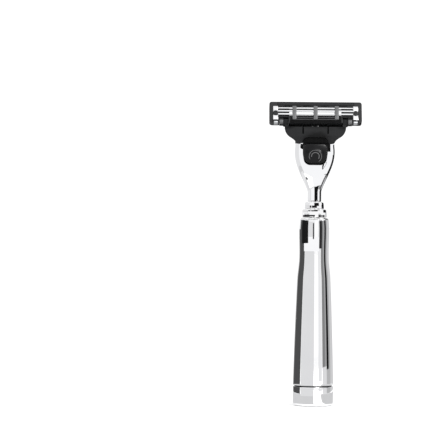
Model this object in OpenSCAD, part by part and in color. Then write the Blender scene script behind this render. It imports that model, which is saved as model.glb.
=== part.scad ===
// Cartridge razor: a turned, chromed handle with a three-blade pivoting cartridge.
// Millimetres. Origin: centre of the end cap's resting face. +Z: along the handle
// towards the cartridge. -Y: the shaving side. +X: to the right of the shaving side.

/* [Handle] */
// Diameter of the end cap and of the barrel beside it
base_d = 18.2; // [17:0.1:20]
// Height of the end cap
cap_h = 8.8; // [7:0.1:10]
// Top of the barrel
barrel_top_z = 84.9; // [82:0.1:85]
// Diameter of the barrel's waist
waist_d = 13.1; // [12:0.1:14]
// Height of the barrel's waist
waist_z = 67; // [60:1:70]
// Diameter of the swelling above the waist
swell_d = 13.6; // [13.2:0.1:14.2]
// Diameter of the lower collar ring at its lower edge
lower_ring_d = 11.3; // [10.5:0.1:12]
// Diameter of the upper collar ring at its lower edge
upper_ring_d = 9.0; // [8:0.1:9.5]
// Diameter of the neck
neck_d = 6.3; // [6:0.1:6.8]

/* [Head] */
// Width of the chromed head at its widest
head_w = 18.1; // [17.6:0.1:19]
// Depth of the chromed head at its rim, front to back
head_depth = 10; // [9.6:0.1:10.6]
// Height of the rim of the chromed head
rim_z = 118.4; // [118:0.1:119]
// Width of the release button
button_w = 10.6; // [9:0.1:11]
// Travel of the release button
button_travel = 2.4; // [1:0.1:2.4]

/* [Cartridge] */
// Width of the cartridge
cart_w = 41.6; // [41:0.1:43]
// Lean of the shaving face away from the handle's axis at rest
lean = 22; // [20:1:24]
// Distance between blade edges
blade_pitch = 1.5; // [1.4:0.05:1.6]
// Angle of each blade to the shaving face
blade_angle = 21.5; // [19:0.5:24]
// Full swing of the cartridge about its pivot
pivot_range = 40; // [20:1:40]

/* [Hidden] */

$fn = 64;
eps = 0.01;
fit = 0.03;

chrome_tint = [0.86, 0.87, 0.89];
brass_tint = [0.78, 0.66, 0.4];
plastic_tint = [0.13, 0.13, 0.14];

// Handle
base_r = base_d / 2;
base_fillet = 2;
seal_h = 0.5;
seal_r = base_r - 0.75;
barrel_z = cap_h + seal_h;
shoulder_r = 1.1;
swell_r = swell_d / 2;
swell_z = 72;
waist_span = 3.2;
rod_r = 2;
rod_bottom_z = 4.2;
rod_top_z = 91;
spigot_r = 2.6;
spigot_bottom_z = 81.5;
cap_spigot_r = 5;
cap_spigot_h = 4;
bore_r = 3.5;
bore_top_z = 76;
ring_gap = 0.15;
lower_ring_z = barrel_top_z + ring_gap;
lower_ring_h = 3.6;
upper_ring_z = lower_ring_z + lower_ring_h + ring_gap;
upper_ring_h = 3.1;
neck_z = upper_ring_z + upper_ring_h + ring_gap;

// Head
neck_top_z = 96.6;
head_wide_z = 114.5;
cavity_z = 108;
cavity_half_w = 6.1;
cavity_front_y = -3.3;
cavity_back_y = 3.5;
insert_gap = 0.05;
slot_gap = 0.35;
notch_half_w = 7.35;
notch_z = 114.6;
nose_top_z = 124.1;
nose_half_w = 5.2;
nose_front_y = -1.9;
nose_back_y = 2.9;

// Plunger and its spring
stem_r = 1.4;
stem_bore_r = 1.45;
plunger_top_z = 129.5;
collar_r = 2.1;
collar_bore_r = 2.25;
collar_z = 110.4;
collar_top_z = 112;
spring_pocket_z = 98.6;
guide_r = 0.95;
guide_z = 103.4;

// Release button
button_z = 109;
button_top_z = 118.2;
button_front_y = -6.3;
button_back_y = -3.45;
leg_x = 3.3;
leg_r = 0.55;
foot_r = 0.95;
leg_y = -2.2;
leg_z = 109.8;
leg_top_z = 111.4;
leg_pocket_r = 1.1;
leg_pocket_z = 109.1;
leg_pocket_top_z = 116.9;

// Connector
yoke_z = rim_z + 0.1;
yoke_top_z = 125.7;
yoke_half_w = 8.8;
yoke_front_y = -5.3;
yoke_back_y = 4.9;
wing_half_w = 13.8;
wing_front_y = -6.6;
wing_back_y = -3.3;
socket_gap = 0.1;
socket_top_z = 124.3;
arm_in = 12.2;
tongue_in = 14.5;
tongue_out = 16.3;
tongue_r = 1.3;
arm_top_z = 126.6;
rib_in = 1.4;
rib_out = 11.9;
rib_front_y = -2.35;
rib_back_y = -1.2;
rib_top_z = 126.9;
stub_r = 0.7;
stub_end = 17.5;

// Cartridge, in its own frame: origin on the pivot axis, Y into the housing,
// Z up the shaving face from guard to cap.
pivot_y = -5.07;
pivot_z = 128.5;
face_y = -1.6;
housing_back_y = 2.4;
housing_top = 8.75;
housing_round = housing_back_y;
corner_r = 1.4;
window_half_w = 17.2;
window_low = 1.85;
window_high = 6.1;
window_floor_y = 0.95;
open_half_w = 11.75;
bar_xs = [-9.5, 0, 9.5];
bar_w = 1.7;
bar_front_y = -2.05;
bar_back_y = -1.7;
bar_low = -0.2;
bar_high = 6.4;
first_edge = 2.2;
blade_len = 33.8;
blade_w = 0.85;
support_t = 0.2;
support_len = 35.4;
support_back_y = 0.15;
float_slot_y = 0.75;
end_slot_half_w = 17.85;
guard_low = -0.5;
guard_high = 1.65;
fin_half_w = 11.4;
fin_count = 5;
lube_low = 6.8;
lube_high = 8.35;
lube_half_w = 17.2;
lube_depth = 1.1;
clip_x = 18;
clip_w = 2.1;
clip_t = 0.3;
clip_front_y = face_y - 0.25;
clip_hole_z = 2.9;
clip_high = 6.4;
clip_low = -1.3;
cam_dist = 5.4;
cam_r = 0.8;
cam_half_w = 0.85;
cam_angle = lean + pivot_range / 2;

// Points of an arc about (cx, cy), from angle a0 to a1 in steps
function arc(cx, cy, r, a0, a1, steps = 8) =
    [for (i = [0:steps]) let (a = a0 + (a1 - a0) * i / steps) [cx + r * cos(a), cy + r * sin(a)]];

// Cosine ease from a to b as t goes from 0 to 1
function ease(a, b, t) = a + (b - a) * (1 - cos(180 * t)) / 2;

// Outline of a smooth turned stretch between two radii
function turned(r0, z0, r1, z1, steps = 8) =
    [for (i = [0:steps]) let (t = i / steps) [ease(r0, r1, t), z0 + (z1 - z0) * t]];

// Helical spring of round wire on the Z axis, swept as one closed tube
module coil_spring(z0, z1, coil_r, wire_r, turns, sides = 6, steps = 10) {
    rings = turns * steps;
    rise = (z1 - z0 - 2 * wire_r) / rings;
    points = [for (i = [0:rings]) for (j = [0:sides - 1])
        let (a = 360 * i / steps, b = 360 * j / sides, r = coil_r + wire_r * cos(b))
        [r * cos(a), r * sin(a), z0 + wire_r + i * rise + wire_r * sin(b)]];
    skin = [for (i = [0:rings - 1]) for (j = [0:sides - 1]) for (half = [0, 1])
        let (k = (j + 1) % sides, a = i * sides, b = a + sides)
        half == 0 ? [a + j, b + j, b + k] : [a + j, b + k, a + k]];
    caps = [[for (j = [0:sides - 1]) j], [for (j = [sides - 1:-1:0]) rings * sides + j]];
    polyhedron(points, concat(skin, caps), convexity = 10);
}

// Bar along X of a profile drawn in Y (first) and Z (second)
module along_x(x0, x1) {
    translate([x0, 0, 0]) rotate([90, 0, 90]) linear_extrude(x1 - x0) children();
}

// Slab along Y of an outline drawn in X (first) and Z (second)
module along_y(y0, y1) {
    translate([0, y1, 0]) rotate([90, 0, 0]) linear_extrude(y1 - y0) children();
}

module box(x0, x1, y0, y1, z0, z1) {
    translate([x0, y0, z0]) cube([x1 - x0, y1 - y0, z1 - z0]);
}

module rod_z(r, z0, z1) {
    translate([0, 0, z0]) cylinder(r = r, h = z1 - z0);
}

module in_cartridge() {
    translate([0, pivot_y, pivot_z]) rotate([-lean, 0, 0]) children();
}

// ---- Handle ----

module end_cap() {
    color(chrome_tint) difference() {
        rotate_extrude() polygon(concat(
            [[0, 0]],
            arc(base_r - base_fillet, base_fillet, base_fillet, -90, 0),
            [[base_r, cap_h - 0.3], [base_r - 0.3, cap_h], [cap_spigot_r, cap_h],
             [cap_spigot_r, cap_h + cap_spigot_h], [0, cap_h + cap_spigot_h]]));
        rod_z(rod_r, 3.6, cap_h + cap_spigot_h + 1);
    }
}

module end_cap_seal() {
    color("black") difference() {
        rod_z(seal_r, cap_h, barrel_z);
        rod_z(cap_spigot_r + fit, cap_h - 1, barrel_z + 1);
    }
}

// Radius of the barrel: a gentle taper from base to swell, less the hollow of the waist
function barrel_r(z) =
    let (u = min(1, (z - barrel_z) / (swell_z - barrel_z)),
         hollow = base_r + (swell_r - base_r) * pow((waist_z - barrel_z) / (swell_z - barrel_z), 1.3)
             - waist_d / 2)
    base_r + (swell_r - base_r) * pow(u, 1.3) - hollow * exp(-pow((z - waist_z) / waist_span, 2));

module barrel() {
    steps = 36;
    top_r = swell_r - 0.35;
    taper_top_z = barrel_top_z - 5;
    color(chrome_tint) difference() {
        rotate_extrude() polygon(concat(
            [[0, barrel_z], [base_r - 0.3, barrel_z], [base_r, barrel_z + 0.3]],
            [for (i = [1:steps]) let (z = barrel_z + 1 + (taper_top_z - barrel_z - 1) * i / steps)
                [barrel_r(z), z]],
            turned(swell_r, taper_top_z + 0.6, top_r, barrel_top_z - shoulder_r, 5),
            arc(top_r - shoulder_r, barrel_top_z - shoulder_r, shoulder_r, 10, 90),
            [[0, barrel_top_z]]));
        rod_z(cap_spigot_r + fit, barrel_z - 1, cap_h + cap_spigot_h + 0.2);
        rod_z(bore_r, barrel_z - 1, bore_top_z);
        rod_z(spigot_r + fit, bore_top_z - 1, barrel_top_z + 1);
    }
}

module tie_rod() {
    color(brass_tint) rotate_extrude() polygon([
        [0, rod_bottom_z], [rod_r - 0.4, rod_bottom_z], [rod_r - 0.02, rod_bottom_z + 0.4],
        [rod_r - 0.02, rod_top_z - 0.4], [rod_r - 0.4, rod_top_z], [0, rod_top_z]]);
}

module collar_ring(d, z, h, taper) {
    edge = 0.25;
    color(chrome_tint) rotate_extrude() polygon([
        [spigot_r + fit, z], [d / 2 - edge, z], [d / 2, z + edge], [d / 2 - taper * 0.4, z + h * 0.6],
        [d / 2 - taper, z + h - edge], [d / 2 - taper - edge, z + h], [spigot_r + fit, z + h]]);
}

module collar_ring_lower() {
    collar_ring(lower_ring_d, lower_ring_z, lower_ring_h, 0.45);
}

module collar_ring_upper() {
    collar_ring(upper_ring_d, upper_ring_z, upper_ring_h, 0.65);
}

// Outline of the button, grown outwards by g
module button_outline(g = 0) {
    low_r = 2.2 + g;
    half = button_w / 2 + g;
    low_half = half - 1;
    polygon(concat(
        arc(-low_half + low_r, button_z - g + low_r, low_r, 200, 270, 6),
        arc(low_half - low_r, button_z - g + low_r, low_r, -90, -20, 6),
        [[half, button_z + 3.6], [half, button_top_z - 1.8 + g]],
        arc(half - 1.8, button_top_z - 1.8 + g, 1.8, 10, 90, 5),
        arc(-half + 1.8, button_top_z - 1.8 + g, 1.8, 90, 170, 5),
        [[-half, button_top_z - 1.8 + g], [-half, button_z + 3.6]]));
}

module head_casting() {
    widest = head_w / 2;
    rim_r = widest - 0.25;
    edge = 0.3;
    neck_r = neck_d / 2;
    color(chrome_tint) difference() {
        intersection() {
            rotate_extrude() polygon(concat(
                [[0, spigot_bottom_z], [spigot_r, spigot_bottom_z], [spigot_r, neck_z]],
                [[neck_r + 0.15, neck_z]],
                turned(neck_r, neck_z + 1.6, neck_r, neck_top_z, 1),
                [for (i = [1:12]) let (t = i / 12)
                    [neck_r + (widest - neck_r) * pow(sin(90 * t), 1.25),
                     neck_top_z + (head_wide_z - neck_top_z) * t]],
                [[widest, head_wide_z + 1], [rim_r + edge * 0.4, rim_z - edge],
                 [rim_r - edge, rim_z], [0, rim_z]]));
            along_x(-15, 15) polygon(concat(
                [[-neck_r - 0.3, 0], [-neck_r - 0.3, neck_top_z]],
                [for (i = [1:8]) let (t = i / 8)
                    [-ease(neck_r + 0.3, head_depth / 2, sin(90 * t)),
                     neck_top_z + (rim_z - 5 - neck_top_z) * t]],
                [[-head_depth / 2, rim_z + 1], [head_depth / 2, rim_z + 1]],
                [for (i = [8:-1:1]) let (t = i / 8)
                    [ease(neck_r + 0.3, head_depth / 2, sin(90 * t)),
                     neck_top_z + (rim_z - 5 - neck_top_z) * t]],
                [[neck_r + 0.3, neck_top_z], [neck_r + 0.3, 0]]));
        }
        rod_z(rod_r, spigot_bottom_z - 1, rod_top_z + 0.6);
        rod_z(collar_bore_r, spring_pocket_z, cavity_z + 1);
        box(-cavity_half_w, cavity_half_w, cavity_front_y, cavity_back_y, cavity_z, rim_z + 1);
        along_y(-9, cavity_front_y + eps) button_outline(slot_gap);
        box(-button_w / 2 - slot_gap, button_w / 2 + slot_gap, -9, cavity_front_y + eps,
            button_top_z - 4, rim_z + 1);
        box(-notch_half_w, notch_half_w, -9, -head_depth / 2 + 0.9, notch_z, rim_z + 1);
        insert_pin_holes(insert_gap / 2);
    }
}

// ---- Mechanism in the head ----

module insert_pin_holes(g) {
    for (x = [-4.2, 4.2])
        translate([x, 1.6, 110.6]) rotate([-90, 0, 0]) cylinder(r = 0.75 + g, h = 5);
}

module insert_pins() {
    color("silver") intersection() {
        insert_pin_holes(0);
        box(-9, 9, 0, 4.35, 105, 118);
    }
}

module mechanism_insert() {
    body_w = cavity_half_w - insert_gap;
    color(plastic_tint) difference() {
        union() {
            box(-body_w, body_w, cavity_front_y + insert_gap, cavity_back_y - insert_gap,
                cavity_z + insert_gap, rim_z - 0.1);
            intersection() {
                box(-nose_half_w, nose_half_w, nose_front_y, nose_back_y, rim_z - 1, nose_top_z);
                along_y(-5, 5) polygon([
                    [-nose_half_w, 100], [nose_half_w, 100], [nose_half_w, nose_top_z - 0.8],
                    [nose_half_w - 0.8, nose_top_z], [-nose_half_w + 0.8, nose_top_z],
                    [-nose_half_w, nose_top_z - 0.8]]);
            }
        }
        rod_z(stem_bore_r, cavity_z, nose_top_z + 1);
        rod_z(collar_bore_r, cavity_z - 1, collar_top_z + 0.1);
        insert_pin_holes(insert_gap / 2);
        for (s = [-1, 1]) translate([s * leg_x, leg_y, 0]) {
            rod_z(leg_pocket_r, leg_pocket_z, leg_pocket_top_z);
            box(-leg_r - 0.15, leg_r + 0.15, -3, 0, leg_pocket_z, leg_pocket_top_z - 2.2);
        }
    }
}

module plunger() {
    edge = 0.25;
    color("dimgray") rotate_extrude() polygon([
        [0, guide_z], [guide_r - edge, guide_z], [guide_r, guide_z + edge], [guide_r, collar_z],
        [collar_r, collar_z], [collar_r, collar_top_z], [stem_r, collar_top_z],
        [stem_r, plunger_top_z - edge], [stem_r - edge, plunger_top_z], [0, plunger_top_z]]);
}

module plunger_spring() {
    color("silver") coil_spring(spring_pocket_z + 0.05, collar_z - 0.05, 1.6, 0.2, 9);
}

module button_leg() {
    box(-leg_r, leg_r, button_back_y - leg_y - eps, 0, leg_z, leg_top_z);
    rod_z(foot_r, leg_z, leg_top_z);
}

module release_button() {
    ring_z = 113.4;
    crown_r = 26;
    color(plastic_tint) {
        difference() {
            intersection() {
                along_y(button_front_y - 1, button_back_y) button_outline();
                translate([0, button_front_y + crown_r, ring_z]) sphere(r = crown_r, $fn = 96);
            }
            for (r = [1.5, 2.9]) along_y(button_front_y - 1, button_front_y + 0.3)
                translate([0, ring_z]) difference() {
                    circle(r = r + 0.35);
                    circle(r = r - 0.05);
                    translate([-5, -5 - 0.5]) square([10, 4.3]);
                }
        }
        for (s = [-1, 1]) translate([s * leg_x, leg_y, 0]) button_leg();
    }
}

module button_spring(s) {
    color("silver") translate([s * leg_x, leg_y, 0])
        coil_spring(leg_top_z + 0.03, leg_pocket_top_z - 0.03, 0.75, 0.13, 6);
}

module button_spring_left() {
    button_spring(-1);
}

module button_spring_right() {
    button_spring(1);
}

// ---- Connector between the head and the cartridge ----

// Outer edge of a wing, from its top to the yoke's foot on the left, or back up on the right
function wing_edge(side) =
    let (edge = concat(
        [[wing_half_w, yoke_top_z]],
        [for (i = [0:8]) let (a = 63 * i / 8)
            [wing_half_w - 5.4 * (1 - cos(a)), yoke_top_z - 0.3 - 5.2 * sin(a)]],
        [[yoke_half_w + 0.7, yoke_z + 1.3], [yoke_half_w, yoke_z + 0.4], [yoke_half_w - 0.4, yoke_z]]))
    side < 0 ? [for (p = edge) [-p[0], p[1]]] : [for (i = [len(edge) - 1:-1:0]) edge[i]];

// Arm that reaches into the housing, with its tongue and its stub journal on the pivot axis
module arm() {
    arm_front_y = pivot_y - 0.9;
    arm_back_y = pivot_y + tongue_r;
    box(arm_in, wing_half_w, arm_front_y, arm_back_y, yoke_top_z - 1, arm_top_z);
    box(arm_in, tongue_in + eps, pivot_y - 0.2, arm_back_y, yoke_top_z, pivot_z + 0.6);
    box(tongue_in, tongue_out, arm_front_y, arm_back_y, yoke_top_z + 0.4, pivot_z);
    translate([tongue_in, pivot_y, pivot_z]) rotate([0, 90, 0]) {
        cylinder(r = tongue_r, h = tongue_out - tongue_in);
        cylinder(r = stub_r, h = stub_end - tongue_in);
    }
}

// Rib behind the housing's round back, which closes the gap under the cartridge
module back_rib() {
    box(rib_in, rib_out, wing_back_y - 0.1, rib_back_y, yoke_top_z - 1.3, yoke_top_z);
    box(rib_in, rib_out, rib_front_y, rib_back_y, yoke_top_z - eps, rib_top_z);
}

module connector() {
    pocket_half = button_w / 2 + 0.55;
    pocket_top = button_top_z + button_travel + 0.3;
    color(plastic_tint) difference() {
        union() {
            intersection() {
                box(-yoke_half_w, yoke_half_w, yoke_front_y, yoke_back_y, yoke_z, yoke_top_z);
                along_x(-20, 20) polygon([
                    [yoke_front_y + 0.3, yoke_z], [yoke_back_y, yoke_z],
                    [yoke_back_y, yoke_top_z - 1.6], [yoke_back_y - 1.6, yoke_top_z],
                    [yoke_front_y, yoke_top_z], [yoke_front_y, yoke_z + 0.6]]);
            }
            along_y(wing_front_y, wing_back_y) polygon(concat(wing_edge(-1), wing_edge(1)));
            for (s = [0, 1]) mirror([s, 0, 0]) {
                arm();
                back_rib();
            }
        }
        // Lower front corner of the wings slopes back to the head
        along_x(-20, 20) polygon([[wing_front_y - 1, yoke_z - 1], [yoke_front_y + 0.2, yoke_z - 1],
            [yoke_front_y + 0.2, yoke_z + 0.2], [wing_front_y, yoke_z + 3.2], [wing_front_y - 1, yoke_z + 3.2]]);
        // Socket for the nose, and the hole that the plunger's stem passes through
        box(-nose_half_w - socket_gap, nose_half_w + socket_gap, nose_front_y - socket_gap,
            nose_back_y + socket_gap, yoke_z - 1, socket_top_z);
        rod_z(stem_r + 0.25, yoke_z, yoke_top_z + 1);
        // Pocket that the button slides up into
        along_y(-9, button_back_y + 0.2) polygon(concat(
            [[-pocket_half, yoke_z - 1], [pocket_half, yoke_z - 1]],
            arc(pocket_half - 2.4, pocket_top - 2.4, 2.4, 0, 90, 6),
            arc(-pocket_half + 2.4, pocket_top - 2.4, 2.4, 90, 180, 6)));
        // Slots that free two snap fingers beside the central panel
        for (x = [-5.6, 5.6]) box(x - 0.3, x + 0.3, -9, yoke_front_y + 1.1, 122.5, yoke_top_z + 1);
    }
}

// ---- Cartridge ----

module housing_section() {
    difference() {
        union() {
            circle(r = housing_round);
            translate([face_y, 0]) square([housing_back_y - face_y, housing_top - 0.9]);
            translate([face_y, 0]) square([1, housing_top - 0.7]);
            translate([face_y + 0.7, 0]) square([housing_back_y - face_y - 1.6, housing_top]);
            translate([face_y + 0.7, housing_top - 0.7]) circle(r = 0.7);
            translate([housing_back_y - 0.9, housing_top - 0.9]) circle(r = 0.9);
        }
        translate([face_y - 5, -5]) square([5, 10]);
        translate([-3, -5]) square([6, 5 - 1.75]);
    }
}

// Room for the arms, their tongues and their stubs to swing through the whole range
module arm_clearance() {
    side_gap = 0.06;
    for (s = [0, 1]) mirror([s, 0, 0]) {
        along_x(arm_in - side_gap, tongue_out + side_gap) union() {
            polygon([[-5, -5], [5, -5], [5, 0.4], [2.3, 0.45], [0.1, 1.6], [-0.3, 1.6], [-0.3, -0.2],
                [face_y + 0.6, -0.2], [face_y + 0.6, 0.4], [-5, 0.4]]);
            circle(r = tongue_r + 0.25);
        }
        translate([tongue_in, 0, 0]) rotate([0, 90, 0])
            cylinder(r = stub_r + fit, h = stub_end - tongue_in + 0.2);
    }
}

module cartridge_housing() {
    color(plastic_tint) in_cartridge() difference() {
        union() {
            intersection() {
                along_x(-cart_w / 2, cart_w / 2) housing_section();
                along_y(-5, 5) union() {
                    box_low = -1.75;
                    for (x = [-1, 1], z = [box_low + corner_r, housing_top - corner_r])
                        translate([x * (cart_w / 2 - corner_r), z]) circle(r = corner_r);
                    translate([-cart_w / 2 + corner_r, box_low])
                        square([cart_w - 2 * corner_r, housing_top - box_low]);
                    translate([-cart_w / 2, box_low + corner_r])
                        square([cart_w, housing_top - box_low - 2 * corner_r]);
                }
            }
            cam_lug();
        }
        difference() {
            union() {
                box(-window_half_w, window_half_w, -5, window_floor_y, window_low, window_high);
                box(-open_half_w, open_half_w, -5, 5, window_low, window_high);
            }
            for (x = bar_xs) box(x - bar_w / 2, x + bar_w / 2, window_floor_y, 5, 0, 8);
        }
        for (i = [0:2]) blade_end_slot(i);
        strip_pocket();
        guard_pocket();
        for (s = [-1, 1]) clip_groove(s);
        for (x = [-12.4, -4.1, 4.1, 12.4]) box(x - 1.7, x + 1.7, -5, face_y + 0.4, 6.3, 6.65);
        arm_clearance();
        for (s = [-1, 1]) along_y(-5, face_y + 0.5) hull()
            for (x = [12.6, 15.9]) translate([s * x, 0.95]) circle(r = 0.75, $fn = 24);
    }
    color("gray") in_cartridge() guard_bars();
}

module cam_lug() {
    tip = [cam_dist * cos(cam_angle), cam_dist * sin(cam_angle)];
    along_x(-cam_half_w, cam_half_w) union() {
        translate(tip) circle(r = cam_r);
        polygon([[housing_back_y - 0.5, tip[1] - cam_r], [tip[0], tip[1] - cam_r],
            [tip[0] + cam_r, tip[1]], [housing_back_y, tip[1] + 2.4], [housing_back_y - 0.5, tip[1] + 2.4]]);
    }
}

module guard_bars() {
    foot_y = face_y + 0.2;
    for (x = bar_xs) along_x(x - bar_w / 2, x + bar_w / 2) polygon([
        [foot_y, bar_low], [bar_front_y + 0.2, bar_low], [bar_front_y, bar_low + 0.3],
        [bar_front_y, bar_high - 0.3], [bar_front_y + 0.2, bar_high], [foot_y, bar_high],
        [foot_y, window_high - eps], [bar_back_y, window_high - eps],
        [bar_back_y, window_low + eps], [foot_y, window_low + eps]]);
}

module strip_pocket() {
    box(-lube_half_w - fit, lube_half_w + fit, -5, face_y + lube_depth + fit, lube_low - fit, lube_high + fit);
}

module guard_pocket() {
    box(-fin_half_w - fit, fin_half_w + fit, -5, face_y + 0.7, guard_low - fit, guard_high + fit);
    for (x = bar_xs) box(x - bar_w / 2 - fit, x + bar_w / 2 + fit, -5, face_y, guard_low, guard_high);
}

module clip_profile(g) {
    back_y = housing_back_y + 0.1;
    difference() {
        translate([clip_front_y - g, clip_low - g])
            square([back_y - clip_front_y + 2 * g, clip_high - clip_low + 2 * g]);
        translate([clip_front_y + clip_t + g, clip_low + clip_t + g])
            square([back_y - clip_front_y - 2 * clip_t - 2 * g, clip_high - clip_low - 2 * clip_t - 2 * g]);
        translate([back_y - clip_t - 1, clip_low + 1.6]) square([3, clip_high - clip_low - 3.2]);
    }
}

module end_clip(s) {
    color("silver") in_cartridge() difference() {
        along_x(s * clip_x - clip_w / 2, s * clip_x + clip_w / 2) clip_profile(0);
        along_y(clip_front_y - 1, clip_front_y + 1) translate([s * clip_x, clip_hole_z]) circle(r = 0.65);
    }
}

module clip_groove(s) {
    x0 = s * clip_x - clip_w / 2 - fit;
    x1 = s * clip_x + clip_w / 2 + fit;
    along_x(x0, x1) clip_profile(fit);
    box(x0, x1, -5, clip_front_y + clip_t, clip_low - fit, clip_high + fit);
}

module end_clip_left() {
    end_clip(-1);
}

module end_clip_right() {
    end_clip(1);
}

module lubricating_strip() {
    color([0.2, 0.22, 0.24]) in_cartridge() along_x(-lube_half_w, lube_half_w) polygon([
        [face_y + lube_depth, lube_low], [face_y + 0.05, lube_low], [face_y - 0.15, lube_low + 0.3],
        [face_y - 0.2, (lube_low + lube_high) / 2], [face_y, lube_high - 0.2],
        [face_y + 0.2, lube_high], [face_y + lube_depth, lube_high]]);
}

module guard_strip() {
    pitch = (guard_high - guard_low) / fin_count;
    fin = pitch * 0.5;
    color([0.22, 0.22, 0.24]) in_cartridge() difference() {
        along_x(-fin_half_w, fin_half_w) union() {
            translate([face_y + 0.1, guard_low]) square([0.55, guard_high - guard_low]);
            for (i = [0:fin_count - 1]) translate([face_y - 0.12, guard_low + (i + 0.25) * pitch])
                square([0.4, fin]);
        }
        for (x = bar_xs) box(x - bar_w / 2 - 0.05, x + bar_w / 2 + 0.05, -5, face_y + 0.25, -2, 2);
    }
}

// Edge of blade i along the shaving face
function edge_z(i) = first_edge + i * blade_pitch;

module blade_section() {
    rotate(-blade_angle) polygon([[0, 0], [0.06, 0.3], [0.06, blade_w], [-0.04, blade_w], [-0.04, 0.3]]);
}

module blade(i) {
    half = blade_len / 2;
    color("gainsboro") in_cartridge() translate([0, face_y, edge_z(i)])
        along_x(-half, half) blade_section();
}

module blade_support(i) {
    half = support_len / 2;
    top_y = blade_w * sin(blade_angle) + 0.07;
    top_z = blade_w * cos(blade_angle) - 0.03;
    color("darkgray") in_cartridge() translate([0, face_y, edge_z(i)])
        along_x(-half, half) union() {
            rotate(-blade_angle) translate([0.06, 0.35]) square([support_t, blade_w - 0.35]);
            translate([top_y, top_z - support_t]) square([support_back_y - face_y - top_y, support_t]);
        }
}

module blade_end_slot(i) {
    translate([0, face_y, edge_z(i)]) box(-end_slot_half_w, end_slot_half_w, -0.3,
        float_slot_y - face_y, -0.12, blade_w + 0.1);
}

module blade_support_1() {
    blade_support(0);
}

module blade_support_2() {
    blade_support(1);
}

module blade_support_3() {
    blade_support(2);
}

module blade_1() {
    blade(0);
}

module blade_2() {
    blade(1);
}

module blade_3() {
    blade(2);
}

end_cap();
end_cap_seal();
barrel();
tie_rod();
collar_ring_lower();
collar_ring_upper();
head_casting();
mechanism_insert();
insert_pins();
plunger();
plunger_spring();
release_button();
button_spring_left();
button_spring_right();
connector();
cartridge_housing();
guard_strip();
lubricating_strip();
end_clip_left();
end_clip_right();
blade_support_1();
blade_support_2();
blade_support_3();
blade_1();
blade_2();
blade_3();
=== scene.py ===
"""Cartridge razor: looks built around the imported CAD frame.

Lengths are in millimetres, and in metres in the last part, for the floor, cards, lights and camera.
"""
import math

import bmesh
import bpy
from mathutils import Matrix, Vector


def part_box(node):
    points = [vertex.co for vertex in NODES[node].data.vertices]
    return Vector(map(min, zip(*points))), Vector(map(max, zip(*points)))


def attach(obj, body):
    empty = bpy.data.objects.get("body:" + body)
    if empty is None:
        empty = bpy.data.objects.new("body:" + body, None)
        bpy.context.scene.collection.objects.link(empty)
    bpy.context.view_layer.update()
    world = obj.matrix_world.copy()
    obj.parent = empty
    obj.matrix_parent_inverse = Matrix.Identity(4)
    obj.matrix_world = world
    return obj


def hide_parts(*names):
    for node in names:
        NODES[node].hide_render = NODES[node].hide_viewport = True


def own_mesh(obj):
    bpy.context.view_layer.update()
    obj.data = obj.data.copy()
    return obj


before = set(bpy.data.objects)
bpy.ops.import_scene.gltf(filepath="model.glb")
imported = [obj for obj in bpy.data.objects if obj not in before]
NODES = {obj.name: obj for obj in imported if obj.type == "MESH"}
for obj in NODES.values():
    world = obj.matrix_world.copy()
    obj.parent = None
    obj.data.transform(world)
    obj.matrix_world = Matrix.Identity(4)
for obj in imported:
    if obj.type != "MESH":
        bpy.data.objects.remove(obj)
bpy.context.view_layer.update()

MM = 0.001
scene = bpy.context.scene


def low(node):
    """Lowest corner of a CAD node in millimetres."""
    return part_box(node)[0] / MM


def high(node):
    """Highest corner of a CAD node in millimetres."""
    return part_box(node)[1] / MM


# ---------------------------------------------------------------- materials

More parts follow.
